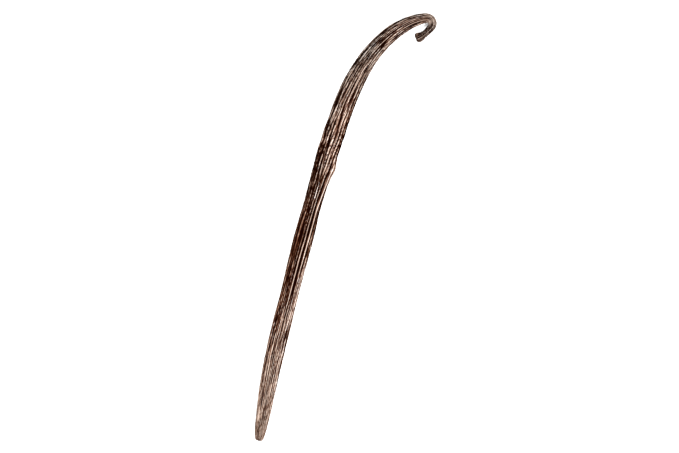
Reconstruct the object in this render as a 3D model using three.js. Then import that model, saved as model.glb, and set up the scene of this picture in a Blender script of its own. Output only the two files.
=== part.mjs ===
// A cured vanilla pod lying on its side. It is one slender solid: a blunt blossom end,
// a long furrowed body with a knee where it was bent as it cured, an arch that thins
// towards the stalk, and a tight hook that ends in a flared knob.
//
// Millimetres, +Z up. The pod lies on the plane Z = 0 with its body along +Y, and its
// arch and hook turn towards +X. The origin is the bottom centre of its bounding box.

import * as THREE from "three";
import { mergeVertices } from "three/addons/utils/BufferGeometryUtils.js";

// ---- Driving dimensions -------------------------------------------------------

const POD_LENGTH = 172.7; // along the centreline, from the blossom tip to the knob
const BODY_FLATNESS = 0.82; // height of the section over its width
const NECK_FLATNESS = 0.95;
const NECK_FROM = 150; // where along the pod the section grows round
const NECK_TO = 164;
const BELLY_SINK = 0.2; // how far the soft underside is pressed flat
const ARCH_LIFT = 1.6; // how far the hook stands clear of what the pod lies on
const LIFT_FROM = 128;
const LIFT_TO = 164;

// The centreline seen from above, from the blossom tip: the length of each stretch and
// how far it turns towards +X, in degrees.
const START_HEADING = -7; // from +Y
const STRETCHES = [
  { length: 40, turn: 6 },
  { length: 30, turn: 0.6 },
  { length: 20, turn: 1.6 },
  { length: 18, turn: 2.6 },
  { length: 9, turn: 1.1 },
  { length: 8, turn: 4.6 },
  { length: 9, turn: 7.2 },
  { length: 9, turn: 11.8 },
  { length: 8, turn: 12.3 },
  { length: 8, turn: 17.2 },
  { length: 2.7, turn: 11.2 },
  { length: 4.3, turn: 132.6 },
  { length: 6.7, turn: 31 },
];

// Widths over the ridges along the centreline.
const GIRTHS = [
  { at: 0, wide: 2.6 },
  { at: 1.5, wide: 3.4 },
  { at: 5, wide: 4.4 },
  { at: 12, wide: 5.4 },
  { at: 24, wide: 6.3 },
  { at: 38, wide: 6.7 },
  { at: 53, wide: 6.5 },
  { at: 71, wide: 7 },
  { at: 83, wide: 6.3 },
  { at: 90, wide: 6.7 },
  { at: 97, wide: 7.3 },
  { at: 106, wide: 8 },
  { at: 114, wide: 7.6 },
  { at: 126, wide: 7.4 },
  { at: 134, wide: 6.7 },
  { at: 143, wide: 6 },
  { at: 151, wide: 5.4 },
  { at: 159, wide: 4 },
  { at: 161.5, wide: 3.4 },
  { at: 164.5, wide: 2.95 },
  { at: 169.1, wide: 2.35 },
  { at: 170.4, wide: 2.75 },
  { at: 171.5, wide: 3.4 },
  { at: 172.7, wide: 3.4 },
];

// The three carpels of the fruit give its section three low lobes, which turn a little
// on their way along the pod.
const CARPELS = { count: 3, rise: 0.1, turn: 70 };

// The wrinkles that run along the pod all round it: ribs of several counts, each
// wandering sideways at its own pace, and the furrows lie where their sum is lowest.
const RIBS = [
  { count: 6, share: 0.42, wander: 1.1, period: 83 },
  { count: 9, share: 0.36, wander: 1.5, period: 59 },
  { count: 13, share: 0.3, wander: 1.9, period: 47 },
];
const RIB_DEPTH = 0.15; // share of the radius
const RIB_SHARPNESS = 2.1;

// The longest furrows and ridges of the upper side. Angles are in degrees round the
// section, from 0 on the right over 90 on top; turn is how far the line moves round
// on its way, and rise is negative for a furrow.
const CREASES = [
  { from: 60, to: 101, angle: 94, turn: -10, rise: -0.6, wide: 0.42 },
  { from: 68, to: 99, angle: 66, turn: -28, rise: 0.28, wide: 0.45 },
  { from: 70, to: 99, angle: 78, turn: -30, rise: -0.42, wide: 0.38 },
  { from: 20, to: 74, angle: 100, turn: -10, rise: 0.26, wide: 0.5 },
  { from: 24, to: 72, angle: 82, turn: -6, rise: -0.45, wide: 0.38 },
  { from: 32, to: 72, angle: 68, turn: -5, rise: 0.24, wide: 0.45 },
  { from: 30, to: 66, angle: 52, turn: -6, rise: -0.36, wide: 0.36 },
  { from: 98, to: 142, angle: 122, turn: -32, rise: -0.5, wide: 0.4 },
  { from: 104, to: 131, angle: 66, turn: 5, rise: -0.34, wide: 0.38 },
  { from: 138, to: 148, angle: 62, turn: -4, rise: -0.26, wide: 0.32 },
  { from: 142, to: 161, angle: 90, turn: -10, rise: -0.28, wide: 0.32 },
  { from: 10, to: 52, angle: 130, turn: 10, rise: -0.4, wide: 0.4 },
];
const CREASE_FADE = 7; // length over which each of them comes up and dies out

// The knee: a swelling on the right, and the slack skin folded in across the left.
const KNEE = { at: 96.8, angle: 8, reach: 3.2, spread: 36, rise: 0.75 };
const FOLD = { at: 105.5, angle: 150, reach: 1.7, spread: 34, rise: -0.4 };

// The belly is smooth where it is pressed flat.
const BELLY = { angle: -90, spread: 26, smooth: 0.9 };

// The scar at the blossom end and the broken face of the knob, ring by ring: the share
// of the full radius, and how far the ring lies in from the end.
const BLOSSOM_RINGS = [
  { share: 0, inset: 0.5 },
  { share: 0.34, inset: 0.3 },
  { share: 0.62, inset: 0 },
  { share: 0.86, inset: 0.2 },
];
const KNOB_RINGS = [
  { share: 0.95, inset: 0.4 },
  { share: 0.8, inset: 0.12 },
  { share: 0.55, inset: 0 },
  { share: 0.25, inset: 0.15 },
  { share: 0, inset: 0.2 },
];
const KNOB_LOBES = { count: 3, length: 2, rise: 0.15, ragged: 0.1 };

// The mesh: sides round the pod, and the spacing of its rings.
const SIDES = 54;
const BODY_STEP = 2.3;
const KNEE_STEP = 1.2;
const END_STEP = 0.6;
const FINE_PARTS = [
  { from: 0, to: 3, step: END_STEP },
  { from: 90, to: 109, step: KNEE_STEP },
  { from: 158, to: POD_LENGTH, step: END_STEP },
];

// ---- Helpers ------------------------------------------------------------------

const { clamp, degToRad, lerp, smoothstep } = THREE.MathUtils;

// 1 in the middle, falling to nothing a few spreads away.
const bell = (away, spread) => Math.exp(-((away / spread) ** 2));

// The shorter way round from one angle to another, in degrees.
const around = (angle, other) => ((((angle - other + 180) % 360) + 360) % 360) - 180;

// ---- The centreline -----------------------------------------------------------

function headingAt(along) {
  let heading = START_HEADING;
  let passed = 0;
  for (const { length, turn } of STRETCHES) {
    heading += turn * clamp((along - passed) / length, 0, 1);
    passed += length;
  }
  return degToRad(heading);
}

function traceCentreline(step) {
  const points = [new THREE.Vector2(0, 0)];
  for (let along = step / 2; along < POD_LENGTH; along += step) {
    const heading = headingAt(along);
    const stride = new THREE.Vector2(Math.sin(heading), Math.cos(heading));
    points.push(points.at(-1).clone().addScaledVector(stride, step));
  }
  return points;
}

const TRACE_STEP = 0.1;
const centreline = traceCentreline(TRACE_STEP);

function middleAt(along) {
  const place = clamp(along / TRACE_STEP, 0, centreline.length - 1.001);
  const before = Math.floor(place);
  return centreline[before].clone().lerp(centreline[before + 1], place - before);
}

// ---- The section --------------------------------------------------------------

// A smooth curve through the girths.
const girthCurve = new THREE.SplineCurve(
  GIRTHS.map(({ at, wide }) => new THREE.Vector2(at, wide)),
);

function halfWidthAt(along) {
  const last = GIRTHS.length - 1;
  const next = clamp(GIRTHS.findIndex(({ at }) => at > along), 1, last);
  const low = along >= POD_LENGTH ? last - 1 : next - 1;
  const share = (along - GIRTHS[low].at) / (GIRTHS[low + 1].at - GIRTHS[low].at);
  return girthCurve.getPoint((low + clamp(share, 0, 1)) / last).y / 2;
}

function flatnessAt(along) {
  return lerp(BODY_FLATNESS, NECK_FLATNESS, smoothstep(along, NECK_FROM, NECK_TO));
}

function liftAt(along) {
  return ARCH_LIFT * smoothstep(along, LIFT_FROM, LIFT_TO);
}

// ---- The skin -----------------------------------------------------------------

function carpelRise(angle, along) {
  const turned = angle - CARPELS.turn * (along / POD_LENGTH);
  return (CARPELS.rise / 2) * (Math.cos(degToRad(CARPELS.count * turned)) - 1);
}

function ribFurrow(angle, along) {
  let sum = 0;
  RIBS.forEach(({ count, share, wander, period }, k) => {
    const sway = wander * Math.sin((2 * Math.PI * along) / period + count);
    const drift = wander * Math.sin((2 * Math.PI * along) / (period * 0.41) + 2 * k);
    sum += share * Math.cos(degToRad(count * angle) + sway + drift / 2);
  });
  return -RIB_DEPTH * Math.exp(-RIB_SHARPNESS * (1 + sum));
}

function creaseRise(angle, along, radius) {
  let total = 0;
  for (const { from, to, angle: start, turn, rise, wide } of CREASES) {
    const line = start + turn * ((along - from) / (to - from));
    const across = degToRad(around(angle, line)) * radius;
    const begun = smoothstep(along, from, from + CREASE_FADE);
    const left = 1 - smoothstep(along, to - CREASE_FADE, to);
    total += rise * begun * left * bell(across, wide);
  }
  return total;
}

function swelling({ at, angle: middle, reach, spread, rise }, angle, along) {
  return rise * bell(along - at, reach) * bell(around(angle, middle), spread);
}

function knobLobes(angle, along) {
  const near = smoothstep(along, POD_LENGTH - KNOB_LOBES.length, POD_LENGTH);
  return near * Math.cos(degToRad(KNOB_LOBES.count * angle));
}

// How far the skin stands in or out of the plain section, in millimetres.
function reliefAt(angle, along) {
  const radius = halfWidthAt(along);
  const smooth = 1 - BELLY.smooth * bell(around(angle, BELLY.angle), BELLY.spread);
  const wrinkles = radius * ribFurrow(angle, along) + creaseRise(angle, along, radius);
  return (
    radius * carpelRise(angle, along) +
    smooth * wrinkles +
    swelling(KNEE, angle, along) +
    swelling(FOLD, angle, along) +
    KNOB_LOBES.rise * knobLobes(angle, along)
  );
}

// Where a point of a straight rod lies on the bent pod. The rod runs along the pod, and
// share is how far the point is out from its axis, from 0 to 1.
function bend(angle, share, rodAlong) {
  const ragged = KNOB_LOBES.ragged * knobLobes(angle + 35, rodAlong) * share;
  const along = rodAlong + ragged;
  const radius = halfWidthAt(rodAlong);
  const reach = share * (radius + reliefAt(angle, rodAlong));
  const middle = middleAt(along);
  const heading = headingAt(along);
  const overshoot = Math.max(along - POD_LENGTH, 0);
  const sideways = reach * Math.cos(degToRad(angle));
  const upwards = reach * Math.sin(degToRad(angle));
  const height = flatnessAt(along) * (radius + upwards) - BELLY_SINK + liftAt(along);
  return new THREE.Vector3(
    middle.x + sideways * Math.cos(heading) + overshoot * Math.sin(heading),
    middle.y - sideways * Math.sin(heading) + overshoot * Math.cos(heading),
    Math.max(height, 0),
  );
}

// ---- The pod ------------------------------------------------------------------

function stepAt(along) {
  const fine = FINE_PARTS.find(({ from, to }) => along >= from && along < to);
  return fine ? fine.step : BODY_STEP;
}

// The outline of the straight rod from pole to pole: out to a share of the radius, and
// along the pod.
function rodOutline() {
  const outline = BLOSSOM_RINGS.map(({ share, inset }) => new THREE.Vector2(share, inset));
  const first = BLOSSOM_RINGS.at(-1).inset + END_STEP;
  for (let along = first; along < POD_LENGTH - END_STEP / 2; along += stepAt(along)) {
    outline.push(new THREE.Vector2(1, along));
  }
  for (const { share, inset } of KNOB_RINGS) {
    outline.push(new THREE.Vector2(share, POD_LENGTH - inset));
  }
  return outline;
}

function podGeometry() {
  const rod = new THREE.LatheGeometry(rodOutline(), SIDES);
  rod.deleteAttribute("normal");
  rod.deleteAttribute("uv");
  const skin = mergeVertices(rod);
  const position = skin.getAttribute("position");
  const point = new THREE.Vector3();
  for (let k = 0; k < position.count; k++) {
    point.fromBufferAttribute(position, k);
    const angle = THREE.MathUtils.radToDeg(Math.atan2(point.z, point.x));
    const bent = bend(angle, Math.hypot(point.x, point.z), point.y);
    position.setXYZ(k, bent.x, bent.y, bent.z);
  }
  return skin;
}

// Puts the origin at the bottom centre of the bounding box.
function settle(geometry) {
  geometry.computeBoundingBox();
  const { min, max } = geometry.boundingBox;
  geometry.translate(-(min.x + max.x) / 2, -(min.y + max.y) / 2, -min.z);
  geometry.computeVertexNormals();
  return geometry;
}

const podSkin = new THREE.MeshStandardMaterial({
  color: 0x4a3429,
  roughness: 0.5,
  metalness: 0,
});

const pod = new THREE.Mesh(settle(podGeometry()), podSkin);
pod.name = "vanilla_pod";

const part = new THREE.Group();
part.add(pod);

export default part;
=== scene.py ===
"""The looks of a cured vanilla pod: its wrinkled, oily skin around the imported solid.

The pod is modelled as a straight rod of rings, which is then given its girth and its
wrinkles and bent along the pod's centreline. Sizes in the first part are millimetres
and degrees, as the pod is measured, and the meshes are in metres.
"""

import math

import bmesh
import bpy
import numpy as np
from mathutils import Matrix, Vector, noise


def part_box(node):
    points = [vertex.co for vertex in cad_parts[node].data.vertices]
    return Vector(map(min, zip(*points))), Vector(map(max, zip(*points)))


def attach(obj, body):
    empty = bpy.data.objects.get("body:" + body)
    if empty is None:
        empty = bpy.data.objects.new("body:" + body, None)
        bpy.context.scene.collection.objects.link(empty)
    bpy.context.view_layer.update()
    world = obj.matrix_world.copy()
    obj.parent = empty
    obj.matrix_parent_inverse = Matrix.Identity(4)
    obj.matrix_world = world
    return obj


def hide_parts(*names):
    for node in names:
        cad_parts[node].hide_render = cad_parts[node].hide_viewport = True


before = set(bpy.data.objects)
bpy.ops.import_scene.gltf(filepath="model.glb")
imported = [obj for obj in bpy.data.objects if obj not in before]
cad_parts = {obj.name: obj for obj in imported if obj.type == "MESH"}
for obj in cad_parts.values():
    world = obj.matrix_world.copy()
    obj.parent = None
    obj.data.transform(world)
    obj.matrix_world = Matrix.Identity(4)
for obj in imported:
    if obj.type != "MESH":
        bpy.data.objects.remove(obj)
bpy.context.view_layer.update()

MM = 0.001

# ---- The pod's form, as its solid has it ----------------------------------------

BODY_FLATNESS = 0.82  # height of the section over its width
NECK_FLATNESS = 0.95
NECK_FROM, NECK_TO = 150, 164  # where along the pod the section grows round
BELLY_SINK = 0.2  # how far the soft underside is pressed flat
ARCH_LIFT = 1.6  # how far the hook stands clear of what the pod lies on
LIFT_FROM, LIFT_TO = 128, 164  # where along the pod it rises to that

# The centreline seen from above, from the blossom tip: length and turn towards +X.
START_HEADING = -7
STRETCHES = [
    (40, 6), (30, 0.6), (20, 1.6), (18, 2.6), (9, 1.1), (8, 4.6), (9, 7.2),
    (9, 11.8), (8, 12.3), (8, 17.2), (2.7, 11.2), (4.3, 132.6), (6.7, 31),
]
POD_LENGTH = sum(length for length, _ in STRETCHES)

# Widths over the ridges, each with its place along the pod.
GIRTHS = [
    (0, 2.6), (1.5, 3.4), (5, 4.4), (12, 5.4), (24, 6.3), (38, 6.7), (53, 6.5),
    (71, 7.0), (83, 6.3), (90, 6.7), (97, 7.3), (106, 8.0), (114, 7.6), (126, 7.4),
    (134, 6.7), (143, 6.0), (151, 5.4), (159, 4.0), (161.5, 3.4), (164.5, 2.95),
    (169.1, 2.35), (170.4, 2.75), (171.5, 3.4), (172.7, 3.4),
]

# The three carpels, and the ribs whose lowest places are the long furrows.
CARPELS = dict(count=3, rise=0.1, turn=70)
RIBS = [
    dict(count=6, share=0.42, wander=1.1, period=83),
    dict(count=9, share=0.36, wander=1.5, period=59),
    dict(count=13, share=0.3, wander=1.9, period=47),
]
RIB_DRIFT = dict(period=0.41, share=0.5)  # a quicker wander beside each rib's own
RIB_DEPTH = 0.15  # share of the radius
RIB_SHARPNESS = 2.1

# The longest furrows and ridges of the upper side: from and to along the pod, angle
# round it (0 on the right, 90 on top), turn on the way, rise, and half width.
CREASES = [
    (60, 101, 94, -10, -0.6, 0.42),
    (68, 99, 66, -28, 0.28, 0.45),
    (70, 99, 78, -30, -0.42, 0.38),
    (20, 74, 100, -10, 0.26, 0.5),
    (24, 72, 82, -6, -0.45, 0.38),
    (32, 72, 68, -5, 0.24, 0.45),
    (30, 66, 52, -6, -0.36, 0.36),
    (98, 142, 122, -32, -0.5, 0.4),
    (104, 131, 66, 5, -0.34, 0.38),
    (138, 148, 62, -4, -0.26, 0.32),
    (142, 161, 90, -10, -0.28, 0.32),
    (10, 52, 130, 10, -0.4, 0.4),
]
CREASE_FADE = 7  # over which a crease begins and ends

# The bulge at the knee, the dip across from it, and the belly that is pressed smooth.
KNEE = dict(at=96.8, angle=8, reach=3.2, spread=36, rise=0.75)
FOLD = dict(at=105.5, angle=150, reach=1.7, spread=34, rise=-0.4)
BELLY = dict(angle=-90, spread=26, smooth=0.9)

# The ends, ring by ring: share of the radius, and distance in from the tip.
BLOSSOM_RINGS = [(0, 0.5), (0.34, 0.3), (0.62, 0), (0.86, 0.2), (1, 0.8)]
KNOB_RINGS = [(1, 0.9), (0.95, 0.4), (0.8, 0.12), (0.55, 0), (0.25, 0.15), (0, 0.2)]
# The knob's lobes: how far down it they reach, how far they rise, and how far its rim
# is drawn out unevenly, in lobes that are turned from those by some degrees.
KNOB_LOBES = dict(count=3, length=2, rise=0.15, ragged=0.1, turned=35)

# ---- The fine skin ----------------------------------------------------------------

SIDES = 240
BODY_STEP = 0.56  # between rings on the body
FINE_STEPS = [(0, 0.2, 3), (101, 0.34, 8), (168, 0.2, 8)]  # place, spacing and reach
FINE_CORE = 0.7  # share of that reach over which the rings are at their closest
END_RINGS = 9  # rings on each end face
# In the middle of an end face: within which share of the radius, how much of the
# wrinkles is left, and the even tone that the skin has there.
END_MIDDLE = dict(share=0.45, wrinkles=0.1, tone=0.3)
RIDGE_RISE = 0.16  # how far the ridges stand above the solid's face

# Two sets of wrinkles run along the pod: how many there are round it, how deep they are,
# how much of the tone they take (darker down a furrow, paler on a ridge: partly the skin's
# own colour, partly painted shade and painted highlight), how far they wind round the pod
# on the way, and which noise makes them sway and slacken.
ROD_RADIUS = 3.2  # of the rod that the wrinkles are laid out on
WRINKLES = [
    dict(count=25, depth=0.5, weight=1.0, turn=60, seed=5.0),
    dict(count=50, depth=0.25, weight=0.6, turn=38, seed=61.0),
]
# How far the wrinkles sway to either side, in millimetres, by slow and by quick bends.
SWAYS = [
    dict(across=0.16, along=0.016, reach=2.4),
    dict(across=0.45, along=0.055, reach=0.6),
    dict(across=1.1, along=0.2, reach=0.2),
]
RESTLESS = dict(least=0.6, more=0.4, at=102, reach=14)  # the wrinkles sway most at the knee
# How far the skin falls into a wrinkle, which noise makes more or less of.
FALL = dict(middle=0.95, change=1.5, least=0.25, most=1.3)
SLACKNESS = dict(across=1.3, along=0.15, seed=9.0)

# Finer wrinkles break the ridges up: the share of the tone that they take, and how much
# more they take, and deepen, where the knee crumples.
SMALL_WRINKLES = dict(across=2.3, along=0.9, depth=0.1, seed=19.0)
BREAKS = dict(share=0.5, more=0.3, at=102, reach=9)
BILLOW = dict(reach=0.32, curve=0.6)  # how wide and how round the finer ridges are
# The darkness that the tone gives the furrows is partly the skin's own and partly painted
# shade.
TONE_CURVE = 1.6  # above 1, the furrows are dark well up their sides

# Single long lines in the skin: from and to along the pod, angle round it, turn on the
# way, half width, and how much it stands out, as a bright ridge or, below 0, as a dark
# furrow. A ridge's brightness is partly painted highlight, and a furrow's darkness is
# partly painted shade.
# A later ridge lies over earlier lines, so those that meet keep their order.
LONG_LINES = [
    (46, 72, 84, -4, 0.26, 1.0),
    (68, 89, 80, -10, 0.2, 0.9),
    (50, 87, 69, -4, 0.3, -1.0),
    (57, 83, 60, -6, 0.22, 0.8),
    (60, 80, 46, 0, 0.25, -0.7),
    (63, 76, 100, 0, 0.2, 0.5),
    (64, 81, 129, -8, 0.3, 0.6),
    (84, 93, 87, 1, 0.2, 0.8),
    (89, 105, 91, 20, 0.22, 0.6),
    (80, 100, 56, -26, 0.22, 1.0),
    (84, 100, 67, -20, 0.35, -0.8),
    (102, 110, 101, -8, 0.2, -1.0),
    (104, 142, 149, -3, 0.22, -0.9),
    (105, 112, 127, -4, 0.2, -0.8),
    (106, 113, 60, 3, 0.16, -0.6),
    (111, 121, 75, 2, 0.16, -0.8),
    (114, 120, 128, -3, 0.2, -0.7),
    (115, 124, 85, 3, 0.2, -0.8),
    (117, 129, 106, -9, 0.2, -1.0),
    (116, 122, 120, -8, 0.2, 0.6),
    (121, 127, 60, 0, 0.2, -0.7),
    (127, 139, 101, -3, 0.2, -1.0),
    (129.5, 135, 56, 0, 0.18, -0.6),
    (130, 135.5, 79, -3, 0.2, 0.6),
    (133, 140, 116, -11, 0.2, -1.0),
    (133, 138, 111, -4, 0.2, 0.6),
    (136, 140, 68, 0, 0.2, -0.7),
    (138, 142, 78, 0, 0.2, -0.8),
    (141, 147, 69, 0, 0.22, -0.8),
    (143, 162, 153, -10, 0.2, -0.8),
    (143, 163, 98, -10, 0.18, -1.0),
    (144, 152, 135, -6, 0.16, -0.7),
    (146, 151, 81, 0, 0.16, -0.6),
    (147, 156, 41, 4, 0.2, -0.7),
    (150, 160, 64, -4, 0.18, -0.8),
    (152, 163, 129, -14, 0.14, -0.7),
    (152, 163, 82, -8, 0.16, -0.9),
    (155, 163.5, 113, -12, 0.16, -1.0),
    (155, 163.5, 105, -10, 0.14, 0.7),
    (154, 163, 90, -8, 0.14, 0.4),
    (153, 163, 121, -13, 0.14, 0.6),
    (154, 163, 73, -6, 0.14, 0.6),
]
LINE_FADE = 2.5  # over which a line begins and ends
LINE_DEPTH = 0.3  # of a furrow of strength -1, and of the skin beside a ridge of strength 1
LINE_SIDES = 2.5  # half widths from a ridge's crest over which the skin falls beside it

# Painted shade and highlight: how much darker the skin's colour is painted for each
# millimetre down, between the ribs and in the creases, whose ridges are painted as much
# brighter for each millimetre up.
RIB_PAINTED_SHADE = 0.2
CREASE_PAINTED_SHADE_AND_HIGHLIGHT = 0.4

# How much more the skin's fibres show on the arch and in the hook, and where that begins
# and is full.
ARCH_FIBRES = dict(more=1.2, rises=(118, 130))

# Short creases across the pod, where it was folded.
CROSS_FOLDS = dict(across=0.5, along=1.0, depth=0.16, seed=41.0)
FOLDED_PLACES = [
    dict(at=102, angle=80, reach=6.0, spread=90),
    dict(at=164.4, angle=0, reach=2.4, spread=75),
]

# Patches of the skin's colour: place, angle round the pod, reach, spread, how much
# redder and how much paler the skin is there. The last two run along its two edges, as
# seen from above, and darken them: painted shade.
PATCHES = [
    (45, 45, 45, 45, 0.5, 0.2),
    (45, 150, 50, 55, 0.7, -0.3),
    (55, 128, 18, 48, 1.2, -1.5),
    (66, 25, 24, 30, 0.3, -0.7),
    (73, 25, 9, 30, 0.0, -0.6),
    (74, 62, 7, 15, 0.0, 0.3),
    (74, 100, 8, 45, 0.7, -0.5),
    (75, 135, 10, 40, 0.4, -0.6),
    (84, 25, 9, 30, 0.2, -1.1),
    (88, 140, 13, 42, 0.0, -1.5),
    (93, 72, 4, 30, 0.3, 0.3),
    (95.5, 99, 2.2, 12, -0.5, 0.8),
    (96, 70, 1.6, 14, 0.8, 0.4),
    (97, 15, 5, 30, 1.3, 1.3),
    (100, 35, 1.2, 16, 0.9, 0.7),
    (100.5, 78, 1.3, 15, 0.4, 0.7),
    (101, 145, 5, 50, 0.5, -1.0),
    (102.5, 30, 2, 30, 0.6, -0.6),
    (103, 70, 2, 22, 0.5, 1.1),
    (105.5, 138, 2, 26, 1.3, 1.1),
    (107, 22, 5, 26, 1.1, -2.9),
    (108, 92, 3, 14, 0.2, -0.5),
    (111, 62, 4, 22, 0.7, 1.5),
    (111, 110, 4, 40, 0.0, -0.4),
    (115, 28, 10, 28, 0.7, -1.8),
    (117, 72, 9, 40, 1.0, 0.6),
    (129, 85, 8, 35, 0.2, 0.3),
    (135, 40, 24, 40, -0.3, -0.3),
    (135, 150, 22, 60, -0.6, -0.3),
    (139, 90, 5, 35, -0.3, 0.7),
    (139, 135, 5, 35, -0.8, 0.2),
    (144, 40, 9, 30, 0.0, -0.4),
    (145, 105, 2.5, 14, 0.0, 0.5),
    (146, 65, 4, 20, 0.2, 0.4),
    (146, 95, 5, 45, 0.7, -0.9),
    (153, 95, 4, 38, 0.5, 0.0),
    (158, 40, 6, 50, 0.2, -0.8),
    (158, 140, 3, 30, 0.0, 0.3),
    (159, 80, 5, 40, 0.7, -0.2),
    (160, 145, 9, 45, -0.3, -0.1),
    (161.5, 85, 1.8, 60, 0.0, -0.2),
    (164.2, 50, 1.6, 60, 0.0, 1.5),
    (166, 145, 4, 45, 0.0, -0.5),
    (166.8, 75, 1.5, 90, -0.3, -0.5),
    (168, 30, 4, 55, -0.2, -0.8),
    (169.5, 0, 4.5, 400, -0.5, -0.95),
    (172.5, 0, 1.2, 400, 0.4, -0.2),
    # Painted shade: darker along the two edges, as seen from above.
    (125, 165, 75, 20, -0.4, -0.7),
    (115, 10, 70, 22, -0.2, -0.7),
]


def smoothstep(value, low, high):
    t = np.clip((value - low) / (high - low), 0, 1)
    return t * t * (3 - 2 * t)


def bell(away, spread):
    """1 in the middle, falling to nothing a few spreads away."""
    return np.exp(-((away / spread) ** 2))


def around(angle, other):
    """The shorter way round from one angle to another, in degrees."""
    return (angle - other + 180) % 360 - 180


# ---- Centreline and section -------------------------------------------------------


def heading_at(along):
    ends = np.cumsum([0] + [length for length, _ in STRETCHES])
    headings = np.cumsum([START_HEADING] + [turn for _, turn in STRETCHES])
    return np.radians(np.interp(along, ends, headings))


def middle_at(along, step=0.1):
    """Where the middle of the section lies, seen from above."""
    halfway = np.arange(step / 2, POD_LENGTH + 1, step)
    heading = heading_at(halfway)
    traced = np.arange(len(halfway) + 1) * step
    x = np.concatenate([[0], np.cumsum(np.sin(heading) * step)])
    y = np.concatenate([[0], np.cumsum(np.cos(heading) * step)])
    return np.interp(along, traced, x), np.interp(along, traced, y)


def half_width_at(along):
    """A smooth curve through the girths, halved."""
    at, wide = np.array(GIRTHS, float).T
    low = np.clip(np.searchsorted(at, along, side="right") - 1, 0, len(at) - 2)
    t = np.clip((along - at[low]) / (at[low + 1] - at[low]), 0, 1)
    before, after = wide[np.maximum(low - 1, 0)], wide[np.minimum(low + 2, len(at) - 1)]
    start, end = wide[low], wide[low + 1]
    slope_in, slope_out = (end - before) / 2, (after - start) / 2
    cubic = (2 * start - 2 * end + slope_in + slope_out) * t**3
    square = (-3 * start + 3 * end - 2 * slope_in - slope_out) * t**2
    return (cubic + square + slope_in * t + start) / 2


def flatness_at(along):
    rounder = smoothstep(along, NECK_FROM, NECK_TO)
    return BODY_FLATNESS + (NECK_FLATNESS - BODY_FLATNESS) * rounder


def lift_at(along):
    return ARCH_LIFT * smoothstep(along, LIFT_FROM, LIFT_TO)


# ---- Relief -----------------------------------------------------------------------


def carpel_rise(angle, along):
    turned = angle - CARPELS["turn"] * along / POD_LENGTH
    return CARPELS["rise"] / 2 * (np.cos(np.radians(CARPELS["count"] * turned)) - 1)


def rib_furrow(angle, along):
    """The furrows between the ribs: a rise below 0, as a share of the radius."""
    total = 0
    for k, rib in enumerate(RIBS):
        turned = 2 * np.pi * along / rib["period"]
        drift = RIB_DRIFT["share"] * np.sin(turned / RIB_DRIFT["period"] + 2 * k)
        sway = rib["wander"] * (np.sin(turned + rib["count"]) + drift)
        total = total + rib["share"] * np.cos(np.radians(rib["count"] * angle) + sway)
    return -RIB_DEPTH * np.exp(-RIB_SHARPNESS * (1 + total))


def crease_rise(angle, along, radius):
    total = np.zeros_like(along)
    for start, end, first, turn, rise, wide in CREASES:
        line = first + turn * (along - start) / (end - start)
        across = np.radians(around(angle, line)) * radius
        begun = smoothstep(along, start, start + CREASE_FADE)
        left = 1 - smoothstep(along, end - CREASE_FADE, end)
        total += rise * begun * left * bell(across, wide)
    return total


def swelling(form, angle, along):
    """One rounded bulge of the body or, with a rise below 0, a dip."""
    near = bell(along - form["at"], form["reach"])
    return form["rise"] * near * bell(around(angle, form["angle"]), form["spread"])


def knob_lobes(angle, along):
    near = smoothstep(along, POD_LENGTH - KNOB_LOBES["length"], POD_LENGTH)
    return near * np.cos(np.radians(KNOB_LOBES["count"] * angle))


def smoothness(angle):
    """How much of the wrinkles is left: little where the belly is pressed flat."""
    return 1 - BELLY["smooth"] * bell(around(angle, BELLY["angle"]), BELLY["spread"])


def form_relief(angle, along, radius):
    """The relief that the solid has too."""
    wrinkles = radius * rib_furrow(angle, along) + crease_rise(angle, along, radius)
    return (
        radius * carpel_rise(angle, along)
        + smoothness(angle) * wrinkles
        + swelling(KNEE, angle, along)
        + swelling(FOLD, angle, along)
        + KNOB_LOBES["rise"] * knob_lobes(angle, along)
    )


def noise_at(points):
    return np.array([noise.noise(Vector(point)) for point in points])


def laid_out(angle, along):
    """The skin on a straight rod of one radius, so that no pattern has a seam."""
    turned = np.radians(angle)
    return np.stack([ROD_RADIUS * np.cos(turned), ROD_RADIUS * np.sin(turned), along], 1)


def stretched_noise(skin, form):
    """Noise drawn out along the pod, around 0."""
    scale = np.array([form["across"], form["across"], form["along"]])
    return noise_at(skin * scale + form["seed"])


def billows(skin, form):
    """Rounded ridges with sharp furrows between them: 0 in a furrow, 1 on a ridge."""
    height = np.abs(stretched_noise(skin, form)) / BILLOW["reach"]
    return np.minimum(height, 1) ** BILLOW["curve"]


def near_place(form, along):
    """How much more there is of something round one place along the pod."""
    return form["more"] * bell(along - form["at"], form["reach"])


def wrinkle_fall(skin, angle, along, wrinkles):
    """How far the skin has fallen into one set of wrinkles: 0 on a ridge, 1 in a furrow."""
    turned = angle + wrinkles["turn"] * along / POD_LENGTH
    phase = wrinkles["count"] * turned / 360
    spacing = 2 * np.pi * ROD_RADIUS / wrinkles["count"]
    restless = RESTLESS["least"] + near_place(RESTLESS, along)
    for sway in SWAYS:
        form = dict(sway, seed=wrinkles["seed"] + sway["across"])
        phase = phase + restless * sway["reach"] / spacing * stretched_noise(skin, form)
    seed = wrinkles["seed"] + SLACKNESS["seed"]
    slack = stretched_noise(skin, dict(SLACKNESS, seed=seed))
    ridge = np.abs(np.sin(np.pi * phase))
    fall = np.clip(FALL["middle"] + FALL["change"] * slack, FALL["least"], FALL["most"])
    return fall * (1 - ridge)


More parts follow.
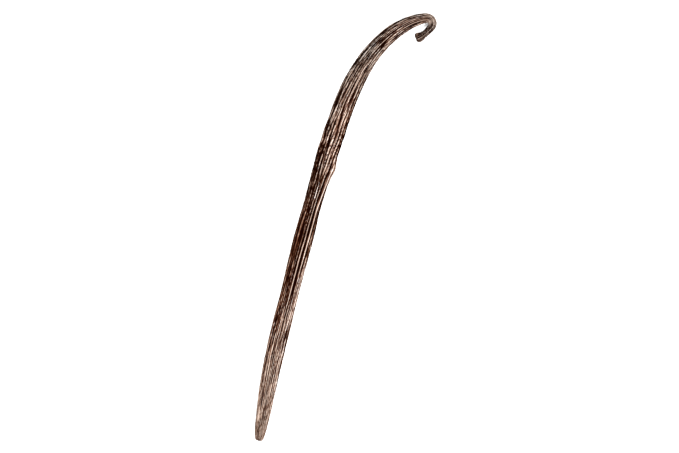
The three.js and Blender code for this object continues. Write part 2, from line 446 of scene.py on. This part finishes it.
def wrinkle_relief(angle, along):
    """How far the wrinkles lie below the ridges between them, and their tone: 0 at the
    bottom of a wrinkle and 1 on top of a ridge. The tone's dark furrows and pale ridges are
    partly the skin's own colour and partly painted shade and painted highlight."""
    skin = laid_out(angle, along)
    drop = np.zeros(len(along))
    tone = np.ones(len(along))
    for wrinkles in WRINKLES:
        fall = wrinkle_fall(skin, angle, along, wrinkles)
        drop -= wrinkles["depth"] * fall
        tone *= 1 - wrinkles["weight"] * np.minimum(fall, 1)
    small = billows(skin, SMALL_WRINKLES)
    broken = BREAKS["share"] + near_place(BREAKS, along)
    drop -= SMALL_WRINKLES["depth"] * (1 - small) * broken / BREAKS["share"]
    return drop, tone**TONE_CURVE * (1 - broken * (1 - small))


def add_long_lines(angle, along, radius, drop, tone):
    """Lays the long ridges and furrows over the wrinkles, in depth and in tone; in tone the
    ridges are partly painted highlight and the furrows partly painted shade.
    """
    for start, end, first, turn, wide, strength in LONG_LINES:
        line = first + turn * (along - start) / (end - start)
        across = np.radians(around(angle, line)) * radius
        ends = smoothstep(along, start, start + LINE_FADE)
        ends = ends * (1 - smoothstep(along, end - LINE_FADE, end)) * abs(strength)
        near = ends * bell(across, wide)
        if strength > 0:
            beside = ends * bell(across, LINE_SIDES * wide)
            drop = drop * (1 - beside) - LINE_DEPTH * (beside - near)
            tone = tone * (1 - beside) + near
        else:
            drop = drop - LINE_DEPTH * near
            tone = tone * (1 - near)
    return drop, tone


def cross_relief(angle, along):
    """The short creases across the pod, where it was folded."""
    folded = np.zeros(len(along))
    for place in FOLDED_PLACES:
        near = bell(along - place["at"], place["reach"])
        near = near * bell(around(angle, place["angle"]), place["spread"])
        folded = np.maximum(folded, near)
    fall = 1 - billows(laid_out(angle, along), CROSS_FOLDS)
    return -CROSS_FOLDS["depth"] * folded * fall


def wrinkled_skin(angle, share, along, radius):
    """How far the fine skin stands out from the solid's face, and its tone."""
    drop, tone = wrinkle_relief(angle, along)
    drop, tone = add_long_lines(angle, along, radius, drop, tone)
    slim = np.sqrt(radius / radius.max())
    relief = RIDGE_RISE + smoothness(angle) * slim * drop + cross_relief(angle, along)
    outwards = smoothstep(share, END_MIDDLE["share"], 1)
    left = END_MIDDLE["wrinkles"] + (1 - END_MIDDLE["wrinkles"]) * outwards
    return left * relief, END_MIDDLE["tone"] + left * (tone - END_MIDDLE["tone"])


def patch_tints(angle, along):
    """How much redder and how much paler the skin is than its mean."""
    red = np.zeros(len(along))
    pale = np.zeros(len(along))
    for at, middle, reach, spread, redder, paler in PATCHES:
        near = bell(along - at, reach) * bell(around(angle, middle), spread)
        red += redder * near
        pale += paler * near
    return red, pale


# ---- The pod's mesh ---------------------------------------------------------------


def step_at(along):
    """How far the next ring is, by the closest spacing that FINE_STEPS gives there."""
    return min(
        fine + (BODY_STEP - fine) * smoothstep(abs(along - at), FINE_CORE * reach, reach)
        for at, fine, reach in FINE_STEPS
    )


def ring_places():
    """Share of the radius and place along the pod, ring by ring from tip to knob."""
    steps = np.linspace(0, 1, END_RINGS + 1)[1:]
    share, inset = np.array(BLOSSOM_RINGS, float).T
    first_along = np.interp(steps, share, inset)
    share, inset = np.array(KNOB_RINGS[::-1], float).T
    last_along = POD_LENGTH - np.interp(steps, share, inset)[::-1]
    body = [first_along[-1]]
    while body[-1] < last_along[0]:
        body.append(body[-1] + step_at(body[-1]))
    body = np.interp(body, [body[0], body[-1]], [body[0], last_along[0]])
    shares = np.concatenate([steps, np.ones(len(body) - 2), steps[::-1]])
    return shares, np.concatenate([first_along, body[1:-1], last_along])


def bend(angle, share, rod_along, relief, radius):
    """Where points of the straight rod lie on the bent pod, in millimetres."""
    lobes = knob_lobes(angle + KNOB_LOBES["turned"], rod_along)
    along = rod_along + KNOB_LOBES["ragged"] * lobes * share
    reach = share * (radius + relief)
    x, y = middle_at(along)
    heading = heading_at(along)
    overshoot = np.maximum(along - POD_LENGTH, 0)
    sideways = reach * np.cos(np.radians(angle))
    upwards = reach * np.sin(np.radians(angle))
    height = flatness_at(along) * (radius + upwards) - BELLY_SINK + lift_at(along)
    return np.stack(
        [
            x + sideways * np.cos(heading) + overshoot * np.sin(heading),
            y - sideways * np.sin(heading) + overshoot * np.cos(heading),
            np.maximum(height, 0),
        ],
        1,
    )


def straight_rod(rings):
    """A closed tube of even rings, 1 in radius and 2 long, with a fan over each end."""
    bm = bmesh.new()
    bmesh.ops.create_cone(
        bm, cap_ends=True, cap_tris=True, segments=SIDES, radius1=1, radius2=1, depth=2
    )
    upright = [e for e in bm.edges if abs(e.verts[0].co.z - e.verts[1].co.z) > 1]
    bmesh.ops.subdivide_edges(bm, edges=upright, cuts=rings - 2)
    bmesh.ops.recalc_face_normals(bm, faces=bm.faces)
    mesh = bpy.data.meshes.new("cured_pod")
    bm.to_mesh(mesh)
    bm.free()
    return mesh


def points_of(mesh):
    points = np.zeros(len(mesh.vertices) * 3)
    mesh.vertices.foreach_get("co", points)
    return points.reshape(-1, 3).T


def set_attribute(mesh, name, values):
    kind = "FLOAT_VECTOR" if values.ndim == 2 else "FLOAT"
    field = "vector" if values.ndim == 2 else "value"
    mesh.attributes.new(name, kind, "POINT").data.foreach_set(field, values.ravel())


def span_by_face(values, face, faces):
    """The least and the most of the values in each face."""
    low = np.full(faces, np.inf)
    high = np.full(faces, -np.inf)
    np.minimum.at(low, face, values)
    np.maximum.at(high, face, values)
    return low, high


def unroll(mesh, angle, travel):
    """The skin's own map: round the pod from the belly, and along it. A face across the
    seam stays whole, and a tip lies halfway along the far edge of each of its faces."""
    loops = np.zeros(len(mesh.loops), int)
    mesh.loops.foreach_get("vertex_index", loops)
    sides = np.zeros(len(mesh.polygons), int)
    mesh.polygons.foreach_get("loop_total", sides)
    face = np.repeat(np.arange(len(sides)), sides)
    u = ((angle[loops] + 90) % 360) / 360
    ends = np.flatnonzero((travel == travel.min()) | (travel == travel.max()))
    rim = ~np.isin(loops, ends)
    low, high = span_by_face(u[rim], face[rim], len(sides))
    wraps = (high - low > 0.5)[face] & (u < 0.5)
    u = np.where(wraps, u + 1, u)
    low, high = span_by_face(u[rim], face[rim], len(sides))
    u = np.where(rim, u, ((low + high) / 2)[face])
    v = travel[loops] / travel.max()
    layer = mesh.uv_layers.new(name="OFBake")
    layer.uv.foreach_set("vector", np.stack([u, v], 1).ravel())


def shape_pod(mesh, angle, share, along, radius, fine):
    """Sets the mesh's points on the bent pod, where its solid lies."""
    plain = form_relief(angle, along, radius)
    solid = bend(angle, share, along, plain, radius)
    middle = (solid.min(0) + solid.max(0)) / 2
    middle[2] = 0
    placed = bend(angle, share, along, plain + fine, radius) - middle
    mesh.vertices.foreach_set("co", (placed * MM).ravel())
    mesh.update()


def tint_pod(mesh, angle, share, along, radius, tone):
    """Gives the mesh what its material reads at each point."""
    skin = laid_out(angle, along)
    skin[:, :2] *= share[:, None]  # on an end face the pattern closes in with the rings
    # Painted shade down in the ribs' furrows and in the creases, and painted highlight on the
    # creases' ridges.
    painted_shade_and_highlight = RIB_PAINTED_SHADE * radius * rib_furrow(angle, along)
    painted_shade_and_highlight += CREASE_PAINTED_SHADE_AND_HIGHLIGHT * crease_rise(angle, along, radius)
    fibres = 1 + ARCH_FIBRES["more"] * smoothstep(along, *ARCH_FIBRES["rises"])
    red, pale = patch_tints(angle, along)
    set_attribute(mesh, "skin", skin)
    set_attribute(mesh, "painted_shade_and_highlight", painted_shade_and_highlight)
    set_attribute(mesh, "fibres", fibres)
    set_attribute(mesh, "tone", tone)
    set_attribute(mesh, "red", red)
    set_attribute(mesh, "pale", pale)


def make_pod():
    shares, alongs = ring_places()
    mesh = straight_rod(len(shares))
    x, y, z = points_of(mesh)  # 1 out from the middle line, but for the tips, which are on it
    ring = np.rint((z + 1) / 2 * (len(shares) - 1)).astype(int)
    on_rim = np.hypot(x, y) > 0.5
    angle = np.degrees(np.arctan2(y, x))
    share = np.where(on_rim, shares[ring], 0)
    tips = np.where(z < 0, BLOSSOM_RINGS[0][1], POD_LENGTH - KNOB_RINGS[-1][1])
    along = np.where(on_rim, alongs[ring], tips)
    radius = half_width_at(along)
    fine, tone = wrinkled_skin(angle, share, along, radius)
    shape_pod(mesh, angle, share, along, radius, fine)
    tint_pod(mesh, angle, share, along, radius, tone)
    # The way along the skin from ring to ring, with each tip 1 mm beyond its last ring.
    travelled = np.hypot(np.diff(shares * half_width_at(alongs)), np.diff(alongs))
    travel = np.concatenate([[1], 1 + np.cumsum(travelled)])
    ends = np.where(z < 0, 0, travel[-1] + 1)
    unroll(mesh, angle, np.where(on_rim, travel[ring], ends))
    mesh.shade_smooth()
    pod = bpy.data.objects.new("cured_pod", mesh)
    bpy.context.scene.collection.objects.link(pod)
    return pod


# ---- Materials --------------------------------------------------------------------

# Colours of the skin from the bottom of a furrow to the top of a dry ridge, where it
# is greyest and where it is reddest. The near black of the furrows is partly painted shade,
# and the paleness of the ridge tops is partly painted highlight.
GREY_TONES = [
    (0.0, (0.0023, 0.00052, 0.00019)),
    (0.24, (0.0065, 0.0021, 0.0009)),
    (0.4, (0.020, 0.010, 0.0058)),
    (0.6, (0.055, 0.035, 0.025)),
    (0.8, (0.116, 0.085, 0.066)),
    (1.0, (0.213, 0.168, 0.139)),
    (1.2, (0.277, 0.226, 0.194)),
]
RED_TONES = [
    (0.0, (0.0039, 0.00045, 0.00013)),
    (0.24, (0.011, 0.0022, 0.00065)),
    (0.4, (0.033, 0.0097, 0.0036)),
    (0.6, (0.085, 0.034, 0.019)),
    (0.8, (0.158, 0.090, 0.059)),
    (1.0, (0.265, 0.179, 0.133)),
    (1.2, (0.329, 0.239, 0.187)),
]

# What noise does to the skin's tone: turns on a millimetre round the pod and along it,
# detail, and how much of the tone it shifts.
STREAKS = dict(across=1.7, along=0.12, detail=3.0, weight=0.8)
FLECKS = dict(across=2.6, along=0.5, detail=3.0, weight=0.9)
FIBRES = dict(across=4.2, along=0.4, detail=2.0, weight=0.9)
CLOUDS = dict(across=0.14, along=0.03, detail=2.0, weight=0.25)
GRAIN = dict(across=9.0, along=3.0, detail=3.0, weight=0.5)  # in the bumps only
NOISE_ROUGHNESS = 0.55

# How the skin's attributes make its place on those ramps, and its share of the red one.
TONE_GAIN, TONE_SHIFT = 1.75, -0.12
PALE_GAIN = 0.3
RED_GAIN, RED_SHIFT = 0.5, 0.5

SKIN_ROUGHNESS = 0.6
BUMPS = dict(strength=0.9, depth=0.08)  # the depth in millimetres
# The oil shows on the ridges, and a little more where the skin is pale.
OIL = dict(tone=1.6, pale=0.4, shift=-0.4, roughness=0.22, ior=1.45)


def plain_material(name, colour, roughness):
    material = bpy.data.materials.new(name)
    material.use_nodes = True
    shader = material.node_tree.nodes["Principled BSDF"]
    shader.inputs["Base Color"].default_value = (*colour, 1)
    shader.inputs["Roughness"].default_value = roughness
    return material


class Wiring:
    """Adds nodes to one material, joining whatever is given to their inputs."""

    def __init__(self, tree):
        self.tree = tree

    def add(self, kind, settings=None, **inputs):
        node = self.tree.nodes.new(kind)
        for key, value in (settings or {}).items():
            setattr(node, key, value)
        for name, value in inputs.items():
            self.join(value, node.inputs[name])
        return node

    def join(self, value, socket):
        if isinstance(value, bpy.types.NodeSocket):
            self.tree.links.new(value, socket)
        else:
            socket.default_value = value

    def attribute(self, name, kind="Fac"):
        node = self.add("ShaderNodeAttribute", {"attribute_name": name})
        return node.outputs[kind]

    def maths(self, operation, first, second=0.0, third=0.0):
        node = self.add("ShaderNodeMath", {"operation": operation})
        for value, socket in zip((first, second, third), node.inputs):
            self.join(value, socket)
        return node.outputs[0]

    def clamp(self, value):
        return self.add("ShaderNodeClamp", Value=value).outputs[0]

    def mix(self, share, first, second):
        """One colour over another. A Mix node's colours are its sockets 6 and 7."""
        node = self.add("ShaderNodeMix", {"data_type": "RGBA"})
        for value, socket in ((share, 0), (first, 6), (second, 7)):
            self.join(value, node.inputs[socket])
        return node.outputs[2]

    def fibre_noise(self, vector, form):
        """Noise drawn out along the pod."""
        scale = (form["across"], form["across"], form["along"])
        stretched = self.add("ShaderNodeMapping", Vector=vector, Scale=scale)
        noise_node = self.add(
            "ShaderNodeTexNoise",
            Vector=stretched.outputs[0],
            Scale=1.0,
            Detail=form["detail"],
            Roughness=NOISE_ROUGHNESS,
        )
        return noise_node.outputs[0]

    def around_zero(self, mottle, form):
        """The noise times its weight, and evened out so that it shifts no mean tone."""
        return self.maths("MULTIPLY_ADD", mottle, form["weight"], -form["weight"] / 2)

    def ramp(self, value, stops):
        """Colours by value, from 0 to the last stop's own."""
        top = stops[-1][0]
        stops = [(place / top, colour) for place, colour in stops]
        node = self.add("ShaderNodeValToRGB", Fac=self.maths("DIVIDE", value, top))
        band = node.color_ramp
        band.elements[0].position, band.elements[0].color = stops[0][0], (*stops[0][1], 1)
        band.elements[1].position, band.elements[1].color = stops[-1][0], (*stops[-1][1], 1)
        for place, colour in stops[1:-1]:
            band.elements.new(place).color = (*colour, 1)
        return node.outputs[0]


def skin_material():
    material = bpy.data.materials.new("cured skin")
    material.use_nodes = True
    wiring = Wiring(material.node_tree)
    shader = material.node_tree.nodes["Principled BSDF"]
    skin = wiring.attribute("skin", "Vector")
    tone = wiring.attribute("tone")
    pale = wiring.attribute("pale")
    value = wiring.maths("MULTIPLY_ADD", tone, TONE_GAIN, TONE_SHIFT)
    # Adds the painted shade of the furrows and the painted highlight of the crease ridges.
    value = wiring.maths("ADD", value, wiring.attribute("painted_shade_and_highlight"))
    for form in (STREAKS, FLECKS, CLOUDS):
        mottle = wiring.around_zero(wiring.fibre_noise(skin, form), form)
        value = wiring.maths("ADD", value, mottle)
    fibres = wiring.fibre_noise(skin, FIBRES)
    fine = wiring.around_zero(fibres, FIBRES)
    value = wiring.maths("MULTIPLY_ADD", fine, wiring.attribute("fibres"), value)
    value = wiring.maths("MULTIPLY_ADD", pale, PALE_GAIN, value)
    redness = wiring.maths("MULTIPLY_ADD", wiring.attribute("red"), RED_GAIN, RED_SHIFT)
    grey = wiring.ramp(value, GREY_TONES)
    red = wiring.ramp(value, RED_TONES)
    colour = wiring.mix(wiring.clamp(redness), grey, red)
    wiring.join(colour, shader.inputs["Base Color"])
    shader.inputs["Roughness"].default_value = SKIN_ROUGHNESS
    shader.inputs["Specular IOR Level"].default_value = 0.0
    oiled = wiring.maths("MULTIPLY_ADD", pale, OIL["pale"], OIL["shift"])
    oiled = wiring.maths("MULTIPLY_ADD", tone, OIL["tone"], oiled)
    wiring.join(wiring.clamp(oiled), shader.inputs["Coat Weight"])
    shader.inputs["Coat Roughness"].default_value = OIL["roughness"]
    shader.inputs["Coat IOR"].default_value = OIL["ior"]
    grain = wiring.fibre_noise(skin, GRAIN)
    height = wiring.maths("MULTIPLY_ADD", grain, GRAIN["weight"], fibres)
    bump = wiring.add(
        "ShaderNodeBump",
        Strength=BUMPS["strength"],
        Distance=BUMPS["depth"] * MM,
        Height=height,
    )
    wiring.join(bump.outputs[0], shader.inputs["Normal"])
    return material


# ---- Stage, light and camera ------------------------------------------------------

LEAN = 15  # degrees that the pod leans to the right in the view
VIEW_HEIGHT = 155  # millimetres that the view shows from top to bottom
VIEW_SIDES = 679 / 453  # width over height
LENS = 100  # millimetres, as is the sensor's width
SENSOR = 36

# Soft lamps round the stage: degrees round from +X, degrees up from the floor, width in
# metres and power in watts.
LAMP_DISTANCE = 0.8
LAMPS = [
    ("right", -10, 68, 0.16, 8.4),
    ("back", 85, 66, 0.3, 3.1),
    ("left", 170, 66, 0.2, 4.3),
    ("front", -95, 66, 0.3, 3.1),
]
SKY_STRENGTH = 0.62  # of the sky's light on the pod
FLOOR_REACH = 0.6  # metres from the middle to each side
CARD_WHITE = (0.93, 0.93, 0.93)
CARD_ROUGHNESS = 0.8


def make_floor():
    bm = bmesh.new()
    bmesh.ops.create_grid(bm, x_segments=1, y_segments=1, size=FLOOR_REACH)
    mesh = bpy.data.meshes.new("floor")
    bm.to_mesh(mesh)
    bm.free()
    floor = bpy.data.objects.new("floor", mesh)
    bpy.context.scene.collection.objects.link(floor)
    mesh.materials.append(plain_material("matt white card", CARD_WHITE, CARD_ROUGHNESS))


def make_lamp(name, place, size, power):
    lamp = bpy.data.lights.new(name, "AREA")
    lamp.shape = "DISK"
    lamp.size = size
    lamp.energy = power
    holder = bpy.data.objects.new(name, lamp)
    holder.location = place
    holder.rotation_euler = (-Vector(place)).to_track_quat("-Z", "Y").to_euler()
    holder.visible_camera = False
    bpy.context.scene.collection.objects.link(holder)


def light_stage():
    """Lamps and a sky that is white where it is seen and dimmer where it only lights."""
    world = bpy.data.worlds.new("studio")
    world.use_nodes = True
    wiring = Wiring(world.node_tree)
    backdrop = world.node_tree.nodes["Background"]
    seen = wiring.add("ShaderNodeLightPath").outputs["Is Camera Ray"]
    wiring.join((1, 1, 1, 1), backdrop.inputs["Color"])
    strength = wiring.maths("MULTIPLY_ADD", seen, 1 - SKY_STRENGTH, SKY_STRENGTH)
    wiring.join(strength, backdrop.inputs["Strength"])
    bpy.context.scene.world = world
    for name, turn, rise, size, power in LAMPS:
        across = LAMP_DISTANCE * math.cos(math.radians(rise))
        place = (
            across * math.cos(math.radians(turn)),
            across * math.sin(math.radians(turn)),
            LAMP_DISTANCE * math.sin(math.radians(rise)),
        )
        make_lamp(name, place, size, power)
    bpy.context.scene.view_settings.view_transform = "Standard"


def make_camera():
    """Straight above the pod, far enough off for the lens to show the view's width."""
    camera = bpy.data.cameras.new("camera")
    camera.lens = LENS
    camera.sensor_width = SENSOR
    width = VIEW_HEIGHT * MM * VIEW_SIDES
    holder = bpy.data.objects.new("camera", camera)
    low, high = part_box("vanilla_pod")
    middle = (Vector(low) + Vector(high)) / 2
    holder.location = (middle.x, middle.y, middle.z + width * LENS / SENSOR)
    holder.rotation_euler = (0, 0, math.radians(LEAN))
    bpy.context.scene.collection.objects.link(holder)
    bpy.context.scene.camera = holder


# ---- Putting it together ----------------------------------------------------------

make_camera()
make_floor()
light_stage()
pod = make_pod()
pod.data.materials.append(skin_material())
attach(pod, "root")
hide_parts("vanilla_pod")
